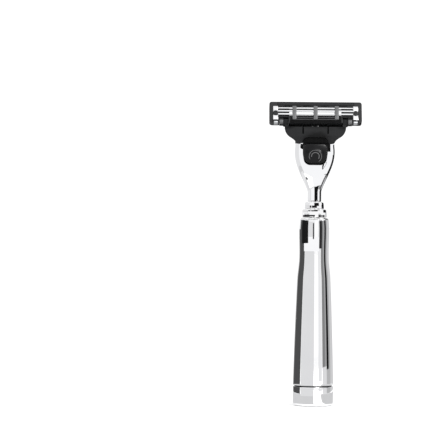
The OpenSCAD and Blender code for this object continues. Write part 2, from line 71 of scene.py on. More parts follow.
class Shader:
    """A Principled material with helpers that keep its node tree short to write."""

    def __init__(self, name, **sockets):
        self.material = bpy.data.materials.new(name)
        self.material.use_nodes = True
        self.tree = self.material.node_tree
        self.bsdf = self.tree.nodes["Principled BSDF"]
        for key, value in sockets.items():
            socket = self.bsdf.inputs[key.replace("_", " ").title().replace("Ior", "IOR")]
            socket.default_value = (*value, 1) if isinstance(value, tuple) else value
        self.coords = self.node("ShaderNodeTexCoord").outputs["Object"]

    def node(self, kind, **settings):
        """A new node, with each setting put on the node or on its socket of that name."""
        made = self.tree.nodes.new(kind)
        for key, value in settings.items():
            if hasattr(made, key):
                setattr(made, key, value)
            else:
                made.inputs[key.replace("_", " ").title()].default_value = value
        return made

    def link(self, a, b):
        self.tree.links.new(a, b)

    def mapped(self, scale=(1, 1, 1)):
        """The object's own coordinates, scaled."""
        mapping = self.node("ShaderNodeMapping")
        mapping.inputs["Scale"].default_value = scale
        self.link(self.coords, mapping.inputs["Vector"])
        return mapping.outputs["Vector"]

    def noise(self, per_mm, detail=4, stretch=(1, 1, 1), roughness=0.6):
        """Noise with so many features to the millimetre; a small stretch draws it out along an axis."""
        made = self.node("ShaderNodeTexNoise", scale=per_mm / MM, detail=detail, roughness=roughness)
        self.link(self.mapped(stretch), made.inputs["Vector"])
        return made.outputs["Fac"]

    def nearness(self, centre_mm, radii_mm):
        """Factor that is 1 at a point and falls to 0 at the given distances from it."""
        mapping = self.node("ShaderNodeMapping")
        mapping.inputs["Scale"].default_value = [1 / (r * MM) for r in radii_mm]
        mapping.inputs["Location"].default_value = [-c / r for c, r in zip(centre_mm, radii_mm)]
        self.link(self.coords, mapping.inputs["Vector"])
        gradient = self.node("ShaderNodeTexGradient", gradient_type="SPHERICAL")
        self.link(mapping.outputs["Vector"], gradient.inputs["Vector"])
        return gradient.outputs["Fac"]

    def ramp(self, factor, stops):
        """Colours or greys at given places of a factor, blended between them."""
        made = self.node("ShaderNodeValToRGB")
        ramp = made.color_ramp
        while len(ramp.elements) < len(stops):
            ramp.elements.new(0.5)
        for element, (place, value) in zip(ramp.elements, stops):
            element.position = place
            element.color = (*value, 1) if isinstance(value, tuple) else (value, value, value, 1)
        self.link(factor, made.inputs["Fac"])
        return made.outputs["Color"]

    def math(self, operation, a, b):
        """The result of a Math node on two outputs or numbers."""
        made = self.node("ShaderNodeMath", operation=operation)
        for socket, value in zip(made.inputs, (a, b)):
            if isinstance(value, (int, float)):
                socket.default_value = value
            else:
                self.link(value, socket)
        return made.outputs["Value"]

    def bump(self, height, depth_mm, strength=1.0, over=None):
        """A bumped normal, if wanted on top of another one."""
        made = self.node("ShaderNodeBump")
        made.inputs["Strength"].default_value = strength
        made.inputs["Distance"].default_value = depth_mm * MM
        self.link(height, made.inputs["Height"])
        if over is not None:
            self.link(over, made.inputs["Normal"])
        return made.outputs["Normal"]

    def set(self, socket, output):
        """Feeds an output into a socket of the Principled shader."""
        self.link(output, self.bsdf.inputs[socket])


PLASTIC_GRAINS = 1 / 0.12


def polished_chrome():
    """Bright plated metal: a mirror with faint wiping marks, fine hairlines and slight smudges."""
    s = Shader("chrome_plate", metallic=1.0, ior=2.5)
    smudge = s.noise(0.06, detail=5)
    hair = s.noise(0.9, detail=2, stretch=(1, 1, 0.03))
    s.set("Base Color", s.ramp(smudge, [(0.3, (0.93, 0.935, 0.945)), (0.7, (0.965, 0.967, 0.97))]))
    rough = s.ramp(smudge, [(0.35, 0.018), (0.62, 0.03), (0.78, 0.06)])
    s.set("Roughness", s.math("ADD", rough, s.math("MULTIPLY", hair, 0.012)))
    s.set("Normal", s.bump(hair, 0.0006, 0.35))
    return s.material


def moulded_plastic(name, tint, rough, spark=0.25, gloss=0.42, painted_shade_at=None):
    """Satin moulded plastic: fine grain and flow variation; its colour can carry painted shade, darker
    towards a point.
    """
    s = Shader(name, ior=1.5)
    s.bsdf.inputs["Specular IOR Level"].default_value = gloss
    flow = s.noise(0.08, detail=3, stretch=(1, 1, 2.2))
    grain = s.noise(PLASTIC_GRAINS, detail=3, roughness=0.7)
    dark = tuple(c * 0.78 for c in tint)
    light = tuple(c * 1.3 for c in tint)
    deep = tuple(c * 0.2 for c in tint)
    # Painted shade: where a point is given, the colour darkens towards it.
    shade = s.math("SUBTRACT", flow, s.nearness(*painted_shade_at)) if painted_shade_at else flow
    s.set("Base Color", s.ramp(shade, [(0.02, deep), (0.3, dark), (0.55, tint), (0.75, light)]))
    s.set("Roughness", s.ramp(flow, [(0.3, rough + 0.06), (0.7, rough - 0.05)]))
    s.set("Normal", s.bump(grain, 0.01, spark))
    return s.material


def ground_steel(name, tint, rough, along=(0.02, 1, 1)):
    """Steel with fine grinding lines that run along one axis."""
    s = Shader(name, metallic=1.0, ior=2.4)
    lines = s.noise(6.0, detail=2, stretch=along)
    stain = s.noise(0.12, detail=3)
    dark = tuple(c * 0.86 for c in tint)
    s.set("Base Color", s.ramp(stain, [(0.3, dark), (0.65, tint)]))
    s.set("Roughness", s.ramp(lines, [(0.3, rough * 0.7), (0.7, rough * 1.3)]))
    s.set("Normal", s.bump(lines, 0.002, 0.35))
    return s.material


def soft_rubber():
    """Dull elastomer with a fine matt texture and a little dust in it."""
    s = Shader("soft_rubber", ior=1.48)
    s.bsdf.inputs["Specular IOR Level"].default_value = 0.14
    fine = s.noise(9.0, detail=3)
    dust = s.noise(0.5, detail=4)
    s.set("Base Color", s.ramp(dust, [(0.35, (0.004, 0.004, 0.0045)), (0.75, (0.011, 0.011, 0.012))]))
    s.set("Roughness", s.ramp(fine, [(0.3, 0.5), (0.7, 0.66)]))
    s.set("Normal", s.bump(fine, 0.012, 0.4))
    return s.material


def waxy_strip():
    """Pressed lubricating compound: waxy, slightly translucent, with speckles and drag marks."""
    s = Shader("waxy_strip", ior=1.45, subsurface_weight=0.15)
    s.bsdf.inputs["Subsurface Radius"].default_value = (0.3 * MM,) * 3
    s.bsdf.inputs["Specular IOR Level"].default_value = 0.2
    speck = s.noise(4.5, detail=4)
    drag = s.noise(1.6, detail=2, stretch=(0.05, 1, 1))
    s.set("Base Color", s.ramp(speck, [(0.3, (0.006, 0.0065, 0.007)), (0.6, (0.013, 0.0135, 0.015)),
                                       (0.85, (0.035, 0.037, 0.04))]))
    s.set("Roughness", s.ramp(drag, [(0.3, 0.36), (0.7, 0.52)]))
    s.set("Normal", s.bump(drag, 0.015, 0.4, over=s.bump(speck, 0.012, 0.3)))
    return s.material


def turned_brass():
    """Machined brass stud with turning marks."""
    s = Shader("turned_brass", metallic=1.0)
    rings = s.noise(5.0, detail=1, stretch=(0.05, 0.05, 1))
    s.set("Base Color", s.ramp(rings, [(0.3, (0.52, 0.36, 0.13)), (0.7, (0.66, 0.48, 0.2))]))
    s.set("Roughness", s.ramp(rings, [(0.3, 0.2), (0.7, 0.36)]))
    s.set("Normal", s.bump(rings, 0.01, 0.4))
    return s.material


# Painted shade on the connector: darker towards this point at the top of the button, within these reaches.
BUTTON_TOP_MM, PAINTED_SHADE_REACH_MM = (0, -6, 119), (8, 40, 7)
FINISH = {
    "chrome": polished_chrome(),
    "seal_rubber": soft_rubber(),
    "stud_brass": turned_brass(),
    "spring_steel": ground_steel("spring_steel_wire", (0.55, 0.56, 0.58), 0.3, along=(1, 1, 1)),
    "insert_plastic": moulded_plastic("insert_plastic_black", (0.005, 0.005, 0.0055), 0.5, gloss=0.16),
    "plunger_plastic": moulded_plastic("plunger_plastic_grey", (0.06, 0.06, 0.062), 0.4),
    "button_plastic": moulded_plastic("button_plastic_satin", (0.005, 0.005, 0.0055), 0.2, spark=0.08,
                                      gloss=0.17),
    # The connector's colour carries painted shade, darker towards the top of the button.
    "connector_plastic": moulded_plastic("connector_plastic_satin", (0.0125, 0.0128, 0.0135), 0.46,
                                         gloss=0.14, painted_shade_at=(BUTTON_TOP_MM, PAINTED_SHADE_REACH_MM)),
    "housing_plastic": moulded_plastic("housing_plastic_satin", (0.0105, 0.0108, 0.0115), 0.4, gloss=0.22),
    "lubricating_strip": waxy_strip(),
    "clip_aluminium": ground_steel("clip_aluminium_bright", (0.93, 0.93, 0.94), 0.14,
                                   along=(1, 1, 0.05)),
    "support_steel": ground_steel("support_steel_grey", (0.7, 0.71, 0.73), 0.26),
    "blade_steel": ground_steel("blade_steel_honed", (0.9, 0.905, 0.92), 0.12),
}
FINISH["guard_rubber"] = FINISH["seal_rubber"]
# Painted light: a lighter grey copy of the housing plastic, for the front bars and guard tabs.
BAR_PAINTED_LIGHT = moulded_plastic("guard_bar_painted_light", (0.085, 0.086, 0.088), 0.3, spark=0.15)
# Painted highlight: a lighter copy of the button plastic for the raised arcs, which catch the light.
ARC_PAINTED_HIGHLIGHT = moulded_plastic("button_arc_painted_highlight", (0.11, 0.11, 0.112), 0.22, spark=0.1)
# Painted shade: a darker, duller copy of the guard rubber along the guard's lower edge.
APRON_PAINTED_SHADE = moulded_plastic("guard_apron_painted_shade", (0.003, 0.003, 0.0032), 0.55, gloss=0.06)
# Painted highlight: a lighter copy of the guard rubber along the guard's ribs.
RIB_PAINTED_HIGHLIGHT = moulded_plastic("guard_rib_painted_highlight", (0.05, 0.05, 0.052), 0.35, spark=0.15)
# Painted shade: a darker, rougher copy of the clip aluminium for the clip's tail round the underside,
# which faces down.
TAIL_PAINTED_SHADE = ground_steel("clip_aluminium_rough_painted_shade", (0.52, 0.53, 0.54), 0.4, along=(1, 1, 0.05))


# ---------------------------------------------------------------- mesh helpers

WELD_MM, SHARP = 0.0005, 38


def mesh_object(name, verts, faces, weld=True):
    """A new object from points in millimetres, with its faces turned outwards."""
    mesh = bpy.data.meshes.new(name)
    mesh.from_pydata([[c * MM for c in v] for v in verts], [], faces)
    work = bmesh.new()
    work.from_mesh(mesh)
    if weld:
        bmesh.ops.remove_doubles(work, verts=work.verts, dist=WELD_MM * MM)
    bmesh.ops.recalc_face_normals(work, faces=work.faces)
    work.to_mesh(mesh)
    work.free()
    obj = bpy.data.objects.new(name, mesh)
    scene.collection.objects.link(obj)
    return obj


def piece(name, verts, faces, slot, body, replaces=(), material=None):
    """A new object of the razor, riding on a CAD body."""
    obj = mesh_object(name, verts, faces)
    finish_piece(obj, slot, body, replaces, material)
    return obj


def finish_piece(obj, slot, body, replaces=(), material=None, sharp=SHARP):
    """Gives an object its material, from its slot unless one is given, its shading and body, and hides the
    CAD nodes that it stands for.
    """
    obj.data.materials.clear()
    obj.data.materials.append(material or FINISH[slot])
    obj.data.shade_smooth()
    obj.data.set_sharp_from_angle(angle=math.radians(sharp))
    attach(obj, body)
    if replaces:
        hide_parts(*replaces)


def rounded(points, radius, steps=5, closed=False):
    """The polyline with each inner corner (or every corner, if closed) turned into an arc."""
    out = []
    count = len(points)
    for i, p in enumerate(points):
        r = radius[i] if isinstance(radius, (list, tuple)) else radius
        if r <= 0 or (not closed and i in (0, count - 1)):
            out.append(tuple(p))
            continue
        here = Vector(p)
        to_a = Vector(points[i - 1]) - here
        to_b = Vector(points[(i + 1) % count]) - here
        half = to_a.angle(to_b) / 2
        back = min(r / math.tan(half), 0.49 * to_a.length, 0.49 * to_b.length)
        centre = here + (to_a.normalized() + to_b.normalized()).normalized() * (back / math.cos(half))
        a = here + to_a.normalized() * back - centre
        b = here + to_b.normalized() * back - centre
        start = math.atan2(a.y, a.x)
        turn = (math.atan2(b.y, b.x) - start + math.pi) % (2 * math.pi) - math.pi
        for k in range(steps + 1):
            at = start + turn * k / steps
            out.append((centre.x + a.length * math.cos(at), centre.y + a.length * math.sin(at)))
    return out


def lathe(name, profile, slot, body, replaces, segments=160):
    """A closed turned solid from (radius, height) pairs that start and end on the axis."""
    verts, faces, rings = [], [], []
    for r, z in profile:
        if r < 1e-6:
            rings.append([len(verts)])
            verts.append((0, 0, z))
            continue
        rings.append(list(range(len(verts), len(verts) + segments)))
        verts += [(r * math.cos(a), r * math.sin(a), z)
                  for a in (2 * math.pi * i / segments for i in range(segments))]
    for lower, upper in zip(rings, rings[1:]):
        for i in range(segments):
            j = (i + 1) % segments
            if len(lower) == 1:
                faces.append((lower[0], upper[j], upper[i]))
            elif len(upper) == 1:
                faces.append((lower[i], lower[j], upper[0]))
            else:
                faces.append((lower[i], lower[j], upper[j], upper[i]))
    piece(name, verts, faces, slot, body, replaces)


def loft(sections):
    """Verts and faces of a skin over closed sections of equal count, capped at both ends."""
    count = len(sections[0])
    verts = [p for section in sections for p in section]
    faces = []
    for s in range(len(sections) - 1):
        a, b = s * count, (s + 1) * count
        faces += [(a + i, a + (i + 1) % count, b + (i + 1) % count, b + i) for i in range(count)]
    faces.append(tuple(range(count - 1, -1, -1)))
    faces.append(tuple(range(len(verts) - count, len(verts))))
    return verts, faces


def ease(a, b, t):
    """A smooth step from a to b as t goes from 0 to 1."""
    t = max(0.0, min(1.0, t))
    return a + (b - a) * (1 - math.cos(math.pi * t)) / 2


def apply_modifiers(obj):
    """Puts the result of an object's modifiers in its mesh, and removes them."""
    graph = bpy.context.evaluated_depsgraph_get()
    mesh = bpy.data.meshes.new_from_object(obj.evaluated_get(graph))
    obj.modifiers.clear()
    obj.data = mesh


def slab_y(outline, y0, y1):
    """Verts and faces of an outline in X and Z, extruded from y0 to y1."""
    return loft([[(x, y0, z) for x, z in outline], [(x, y1, z) for x, z in outline]])


def cut(obj, *solids):
    """Cuts solids, given as verts and faces, away from obj."""
    for verts, faces in solids:
        tool = mesh_object("cutter", verts, faces, weld=False)
        modifier = obj.modifiers.new("cut", "BOOLEAN")
        modifier.operation = "DIFFERENCE"
        modifier.solver = "EXACT"
        modifier.object = tool
        apply_modifiers(obj)
        bpy.data.objects.remove(tool)


# ---------------------------------------------------------------- handle

SPIGOT_SEAT_R, SEAL_SEAT_R = 5.0, 5.1
cap_r, cap_top = high("end_cap").x, high("end_cap").z
cap_h = low("end_cap_seal").z
cap_profile = rounded(
    [(0, 0.35), (4.6, 0.35), (5.2, 0), (cap_r, 0), (cap_r, cap_h), (SPIGOT_SEAT_R, cap_h),
     (SPIGOT_SEAT_R, cap_top), (0, cap_top)],
    [0, 0.3, 0.3, 1.9, 0.28, 0, 0.3, 0], steps=8)
lathe("end_cap_polished", cap_profile, "chrome", "handle", ["end_cap"])

seal_r = high("end_cap_seal").x
seal_low, seal_high = low("end_cap_seal").z, high("end_cap_seal").z
seal_edge = rounded([(SEAL_SEAT_R, seal_low), (seal_r, seal_low), (seal_r, seal_high),
                     (SEAL_SEAT_R, seal_high)], 0.22)
lathe("end_cap_gasket", [(0, seal_low), (SEAL_SEAT_R, seal_low), *seal_edge, (0, seal_high)],
      "seal_rubber", "handle", ["end_cap_seal"])

barrel_z, barrel_top = low("barrel").z, high("barrel").z
SWELL_Z, SWELL_R, WAIST_R = 72.0, 6.8, 6.6
WAIST_LOW, WAIST_HIGH = 57.0, 68.5
EASE_Z, EASE_SPAN = 70.0, 8.0


def barrel_r(z):
    """Radius of the barrel: the CAD's taper, easing into the waist, and a faint swelling above."""
    u = min(1.0, (z - barrel_z) / (SWELL_Z - barrel_z))
    taper = cap_r + (SWELL_R - cap_r) * u ** 1.3
    r = ease(taper, WAIST_R, (z - WAIST_LOW) / (WAIST_HIGH - WAIST_LOW))
    return ease(r, SWELL_R - 0.05, (z - EASE_Z) / EASE_SPAN) if z > EASE_Z else r


barrel_foot = rounded([(SPIGOT_SEAT_R, barrel_z), (cap_r, barrel_z), (cap_r, barrel_z + 1)],
                      [0, 0.25, 0], steps=5)
barrel_profile = [(0, barrel_z), *barrel_foot[1:-1]]
BARREL_STEPS = 110
barrel_heights = [barrel_z + 1.2 + (barrel_top - 5.6 - barrel_z - 1.2) * i / BARREL_STEPS
                  for i in range(BARREL_STEPS + 1)]
barrel_profile += [(barrel_r(z), z) for z in barrel_heights]
barrel_profile += rounded([(SWELL_R - 0.02, barrel_top - 5.0), (SWELL_R - 0.16, barrel_top - 2.9),
                           (SWELL_R - 0.36, barrel_top), (0, barrel_top)],
                          [0, 3.0, 1.15, 0], steps=9)
lathe("barrel_polished", barrel_profile, "chrome", "handle", ["barrel"], segments=224)

for ring_node, taper in (("collar_ring_lower", 0.2), ("collar_ring_upper", 0.28)):
    z0, z1, r = low(ring_node).z, high(ring_node).z, high(ring_node).x
    lathe(ring_node + "_polished", rounded(
        [(0, z0), (r, z0), (r - taper * 0.35, z0 + (z1 - z0) * 0.6), (r - taper, z1), (0, z1)],
        [0, 0.25, 2.0, 0.5, 0], steps=6), "chrome", "handle", [ring_node])


# ---------------------------------------------------------------- head

HEAD_POINTS = 144
head_angles = [2 * math.pi * i / HEAD_POINTS for i in range(HEAD_POINTS)]
NECK_R, NECK_TOP, WIDE_Z = 3.15, 96.6, 114.5
head_low, rim_z = low("head_casting").z, high("head_casting").z
head_half, head_deep = high("head_casting").x, high("head_casting").y
neck_z = high("collar_ring_upper").z + 0.15
SECTION_ROUND, SECTION_SQUARE = 2.0, 3.1    # powers of the superellipse: a circle, and squarer


def head_section(z, inset=0.0):
    """Outline of the head at a height: round at the neck, flattened front and back above it."""
    if z <= NECK_TOP:
        across = NECK_R
    elif z <= WIDE_Z:
        t = (z - NECK_TOP) / (WIDE_Z - NECK_TOP)
        across = NECK_R + (head_half - NECK_R) * math.sin(math.pi / 2 * t) ** 1.25
    else:
        across = ease(head_half, head_half - 0.22, (z - WIDE_Z) / (rim_z - WIDE_Z))
    t = max(0.0, min(1.0, (z - NECK_TOP) / (rim_z - 6 - NECK_TOP)))
    deep = min(across, ease(NECK_R, head_deep, math.sin(math.pi / 2 * t)))
    power = ease(SECTION_ROUND, SECTION_SQUARE, t)
    across, deep = across - inset, deep - inset
    out = []
    for a in head_angles:
        r = ((abs(math.cos(a)) / across) ** power + (abs(math.sin(a)) / deep) ** power) ** (-1 / power)
        out.append((r * math.cos(a), r * math.sin(a), z))
    return out


SPIGOT_R, HEAD_STEPS, RIM_R = 2.58, 70, 0.35
head_sections = [[(SPIGOT_R * math.cos(a), SPIGOT_R * math.sin(a), z) for a in head_angles]
                 for z in (head_low, neck_z)]
head_sections += [[(p[0] * k, p[1] * k, z) for p in head_section(neck_z)]
                  for z, k in ((neck_z, 0.97), (neck_z + 0.08, 0.99), (neck_z + 0.2, 1.0),
                               (neck_z + 1, 1.0))]
head_sections += [head_section(neck_z + 1.8 + (rim_z - 0.4 - neck_z - 1.8) * (i / HEAD_STEPS))
                  for i in range(HEAD_STEPS + 1)]
head_sections += [head_section(rim_z - RIM_R + RIM_R * math.sin(a), RIM_R * (1 - math.cos(a)))
                  for a in (math.pi / 10 * k for k in range(1, 6))]
head = piece("head_polished", *loft(head_sections), "chrome", "handle", ["head_casting"])

button_half = high("release_button").x
button_low, button_high = low("release_button").z, high("release_button").z
bend_z = button_low + 4.6    # where the sides of the button and its slot turn in to the foot

insert_lo, insert_hi = low("mechanism_insert"), high("mechanism_insert")
FIT = 0.05
cavity_outline = [(insert_lo.x - FIT, insert_lo.y - FIT), (insert_hi.x + FIT, insert_lo.y - FIT),
                  (insert_hi.x + FIT, insert_hi.y + FIT), (insert_lo.x - FIT, insert_hi.y + FIT)]
cavity = loft([[(x, y, z) for x, y in cavity_outline] for z in (insert_lo.z - FIT, rim_z + 1)])
OUTSIDE_Y, ABOVE_Z = -9, rim_z + 1.5
slot_half, slot_low = button_half + 0.3, button_low - 0.5
slot_outline = rounded([(-slot_half + 0.8, slot_low), (slot_half - 0.8, slot_low), (slot_half, bend_z),
                        (slot_half, ABOVE_Z), (-slot_half, ABOVE_Z), (-slot_half, bend_z)],
                       [3.4, 3.4, 3.0, 0, 0, 3.0], steps=8, closed=True)
NOTCH_HALF, NOTCH_LOW, NOTCH_DEEP = 7.35, 114.6, 0.9
notch_outline = rounded([(-NOTCH_HALF, NOTCH_LOW), (NOTCH_HALF, NOTCH_LOW), (NOTCH_HALF, ABOVE_Z),
                         (-NOTCH_HALF, ABOVE_Z)], [0.5, 0.5, 0, 0], steps=4, closed=True)
cut(head, cavity, slab_y(slot_outline, OUTSIDE_Y, insert_lo.y + 0.02),
    slab_y(notch_outline, OUTSIDE_Y, -head_deep + NOTCH_DEEP))
# The cuts made a new mesh, so its finish is set again.
finish_piece(head, "chrome", "handle", ["head_casting"])


# ---------------------------------------------------------------- release button

RING_Z, CROWN_R, RING_SPAN, RING_STEP = 112.4, 24.0, 3.0, 0.12
RIDGE_HALF = RIDGE_HEIGHT = 0.26
BUTTON_BACK, BUTTON_RAYS, BUTTON_EDGE = -3.45, 160, 0.55
FLAT_RINGS, EDGE_RINGS = 5, 6
button_front = low("release_button").y
button_angles = [2 * math.pi * i / BUTTON_RAYS for i in range(BUTTON_RAYS)]
foot_half, foot_z = button_half - 0.85, button_low + 0.45
button_outline = rounded([(-foot_half, foot_z), (foot_half, foot_z), (button_half, bend_z),
                          (button_half, button_high), (-button_half, button_high),
                          (-button_half, bend_z)],
                         [3.1, 3.1, 3.0, 1.6, 1.6, 3.0], steps=8, closed=True)


def ridge(r, centre):
    """Height of a rounded ridge of circular plan at radius r."""
    d = abs(r - centre) / RIDGE_HALF
    return 0.0 if d >= 1 else RIDGE_HEIGHT * (math.cos(math.pi * d) + 1) / 2


def arc_mask(angle, start, end, soft=0.16):
    """1 inside an arc given in radians, easing to 0 at its ends."""
    a = (angle - start) % (2 * math.pi)
    span = end - start
    if a > span:
        return 0.0
    return ease(0, 1, min(a, span - a) / soft)


def outline_reach(angle):
    """Distance from the ring centre to the button's outline in a direction."""
    best = 1e9
    dx, dz = math.cos(angle), math.sin(angle)
    for (x0, z0), (x1, z1) in zip(button_outline, button_outline[1:] + button_outline[:1]):
        ex, ez = x1 - x0, z1 - z0
        cross = dx * ez - dz * ex
        if abs(cross) < 1e-12:
            continue
        t = (x0 * ez - (z0 - RING_Z) * ex) / cross
        u = (x0 * dz - (z0 - RING_Z) * dx) / cross
        if t > 0 and -1e-6 <= u <= 1 + 1e-6:
            best = min(best, t)
    return best


def crown_y(x, z):
    """Y of the button's domed face."""
    reach2 = x * x + (z - RING_Z) ** 2
    return button_front + CROWN_R - math.sqrt(CROWN_R ** 2 - reach2)


def button_ring(radii, set_backs):
    """A ring of the button's skin: for each ray its radius, and how far it lies behind the dome."""
    ring = []
    for a, r, set_back in zip(button_angles, radii, set_backs):
        x, z = r * math.cos(a), RING_Z + r * math.sin(a)
        ring.append((x, crown_y(x, z) + set_back, z))
    return ring


reach = [outline_reach(a) for a in button_angles]
fine = [RING_STEP * k for k in range(1, int(RING_SPAN / RING_STEP))]
level = [0.0] * BUTTON_RAYS
button_rings = []
for r in fine:
    arcs = [ridge(r, 2.75) * arc_mask(a, math.radians(-58), math.radians(212))
            + ridge(r, 1.75) * arc_mask(a, math.radians(-40), math.radians(190)) for a in button_angles]
    button_rings.append(button_ring([r] * BUTTON_RAYS, [-lift for lift in arcs]))
inside = fine[-1]
for k in range(1, FLAT_RINGS + 1):
    button_rings.append(button_ring(
        [inside + (max(far - BUTTON_EDGE, inside) - inside) * k / FLAT_RINGS for far in reach], level))
for k in range(1, EDGE_RINGS + 1):
    turn = math.pi / 2 * k / EDGE_RINGS
    button_rings.append(button_ring([far - BUTTON_EDGE * (1 - math.sin(turn)) for far in reach],
                                    [BUTTON_EDGE * (1 - math.cos(turn))] * BUTTON_RAYS))
button_rings.append([(far * math.cos(a), BUTTON_BACK, RING_Z + far * math.sin(a))
                     for a, far in zip(button_angles, reach)])
verts, faces = loft(button_rings)
LEG_X, LEG_HALF, LEG_Y, LEG_LOW, LEG_TOP = 3.3, 0.55, -2.2, 109.8, 111.4
FOOT_R, FOOT_POINTS = 0.95, 32
for side in (-1, 1):
    left, right = side * LEG_X - LEG_HALF, side * LEG_X + LEG_HALF
    leg = [(left, BUTTON_BACK - 0.05), (left, LEG_Y), (right, LEG_Y), (right, BUTTON_BACK - 0.05)]
    foot = [(side * LEG_X + FOOT_R * math.cos(a), LEG_Y + FOOT_R * math.sin(a))
            for a in (2 * math.pi * i / FOOT_POINTS for i in range(FOOT_POINTS))]
    for outline in (leg, foot):
        more_verts, more_faces = loft([[(x, y, z) for x, y in outline] for z in (LEG_LOW, LEG_TOP)])
        faces += [tuple(len(verts) + k for k in face) for face in more_faces]
        verts += more_verts
button = piece("release_button_satin", verts, faces, "button_plastic", "release_button",
               ["release_button"])
# The raised arcs on the button get the lighter plastic: a painted highlight.
button.data.materials.append(ARC_PAINTED_HIGHLIGHT)
for polygon in button.data.polygons:
    x, y, z = polygon.center / MM
    raised = y < crown_y(x, z) - 0.09 and y < BUTTON_BACK - 0.5
    if raised and math.hypot(x, z - RING_Z) < RING_SPAN + 0.2:
        polygon.material_index = 1


# ---------------------------------------------------------------- springs

CLOSED = 0.85    # turns lost to the closed end at each side


def coil(name, node, wire_r, turns):
    """A coil spring in a CAD spring's place, with closed end turns."""
    lo, hi = low(node), high(node)
    cx, cy, mean_r = (lo.x + hi.x) / 2, (lo.y + hi.y) / 2, (hi.x - lo.x) / 2 - wire_r
    z0, z1 = lo.z + wire_r, hi.z - wire_r
    steps, sides = 36, 12
    sections = []
    for i in range(int(turns * steps) + 1):
        turn = i / steps
        lead = turn + CLOSED * (math.exp(-2.6 * turn) - math.exp(-2.6 * (turns - turn)))
        share = (lead - CLOSED) / (turns - 2 * CLOSED)
        a = 2 * math.pi * turn
        z = z0 + (z1 - z0) * max(0.0, min(1.0, share))
        sections.append([(cx + (mean_r + wire_r * math.cos(b)) * math.cos(a),
                          cy + (mean_r + wire_r * math.cos(b)) * math.sin(a), z + wire_r * math.sin(b))
                         for b in (2 * math.pi * k / sides for k in range(sides))])
    obj = piece(name, *loft(sections), "spring_steel", "handle", [node])
    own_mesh(obj)


coil("plunger_spring_coil", "plunger_spring", 0.2, 9)
for tag in ("left", "right"):
    coil("button_spring_coil_" + tag, "button_spring_" + tag, 0.13, 6)


# ---------------------------------------------------------------- moulded parts from CAD solids

VOXEL_MM, KEPT_FACES = 0.11, 0.4


def moulded(name, node, slot, body, smooth, shape=None):
    """A CAD solid remeshed evenly, with its edges rounded as a mould leaves them."""
    mesh = NODES[node].data.copy()
    mesh.name = name
    obj = bpy.data.objects.new(name, mesh)
    scene.collection.objects.link(obj)
    remesh = obj.modifiers.new("remesh", "REMESH")
    remesh.mode = "VOXEL"
    remesh.voxel_size = VOXEL_MM * MM
    soften = obj.modifiers.new("soften", "SMOOTH")
    soften.factor, soften.iterations = 0.5, smooth
    thin = obj.modifiers.new("thin", "DECIMATE")
    thin.ratio = KEPT_FACES
    apply_modifiers(obj)
    if shape:
        for v in obj.data.vertices:
            v.co = Vector(shape(*(v.co / MM))) * MM
    finish_piece(obj, slot, body, [node], sharp=180)


WING_X, WING_BEVEL = 8.7, 0.32
PANEL_X, PANEL_Z, PANEL_CROWN = 5.1, 122.4, 0.035
YOKE_Z, FADE_MM = 125.6, 0.6


def connector_shape(x, y, z):
    """Bevels the connector's wings back, and crowns the panel between its two slots."""
    if z > YOKE_Z:
        return x, y, z
    set_back = WING_BEVEL * max(0.0, abs(x) - WING_X)
    if abs(x) < PANEL_X:
        set_back = PANEL_CROWN * (z - PANEL_Z) ** 2 * ease(1, 0, (abs(x) - PANEL_X + FADE_MM) / FADE_MM)
    front = max(0.0, min(1.0, (-y - 3.0) / 1.5))
    below_yoke = min(1.0, (YOKE_Z - z) / FADE_MM)
    return x, y + set_back * front * below_yoke, z


moulded("connector_moulded", "connector", "connector_plastic", "connector", 3, connector_shape)
moulded("cartridge_housing_moulded", "cartridge_housing", "housing_plastic", "cartridge", 2)


# ---------------------------------------------------------------- guard, front bars and end clips

LEAN = math.radians(22)
PIVOT_Y, PIVOT_Z = -5.07, 128.5


def on_cartridge(point):
    """A point of the cartridge's own frame (Y into the housing, Z up the face) in the row frame."""
    x, y, z = point
    return (x, PIVOT_Y + y * math.cos(LEAN) + z * math.sin(LEAN),
            PIVOT_Z - y * math.sin(LEAN) + z * math.cos(LEAN))


def rounded_bar(x0, x1, profile, edge, steps=4):
    """Verts and faces of a bar along X of a profile in Y and Z, with its two ends rounded over."""
    cy = sum(p[0] for p in profile) / len(profile)
    cz = sum(p[1] for p in profile) / len(profile)
    reach_y = max(abs(p[0] - cy) for p in profile)
    reach_z = max(abs(p[1] - cz) for p in profile)
    sections = []
    for end, sign in ((x0, 1), (x1, -1)):
        angles = [math.pi / 2 * k / steps for k in range(steps + 1)]
        for a in angles if sign > 0 else reversed(angles):
            shrink = edge * (1 - math.sin(a))
            x = end + sign * edge * (1 - math.cos(a))
            sections.append([(x, cy + (y - cy) * (1 - shrink / reach_y),
                              cz + (z - cz) * (1 - shrink / reach_z)) for y, z in profile])
    return loft(sections)


def cartridge_bar(name, x, half, profile, edge, slot, material=None, replaces=()):
    """A rounded bar in the cartridge's own frame, centred on x and riding on the cartridge."""
    verts, faces = rounded_bar(x - half, x + half, profile, edge)
    piece(name, [on_cartridge(v) for v in verts], faces, slot, "cartridge", replaces, material)


# The guard's ribs get the lighter rubber: a painted highlight.
for number, rib_z in ((1, 0.78), (2, -0.2)):
    rib = rounded([(-1.4, rib_z - 0.12), (-1.84, rib_z - 0.12), (-1.84, rib_z + 0.12),
                   (-1.4, rib_z + 0.12)], [0, 0.08, 0.08, 0], steps=3, closed=True)
    for tag, rib_x in (("left", -4.75), ("right", 4.75)):
        cartridge_bar(f"guard_rib_{number}_{tag}", rib_x, 3.85, rib, 0.05, "guard_rubber", RIB_PAINTED_HIGHLIGHT)
apron = rounded([(-1.2, -1.72), (-1.7, -1.72), (-1.78, -1.4), (-1.7, -1.15), (-1.8, -0.95), (-1.72, -0.6),
                 (-1.2, -0.55)], [0, 0.12, 0.1, 0.06, 0.1, 0.1, 0], steps=3, closed=True)
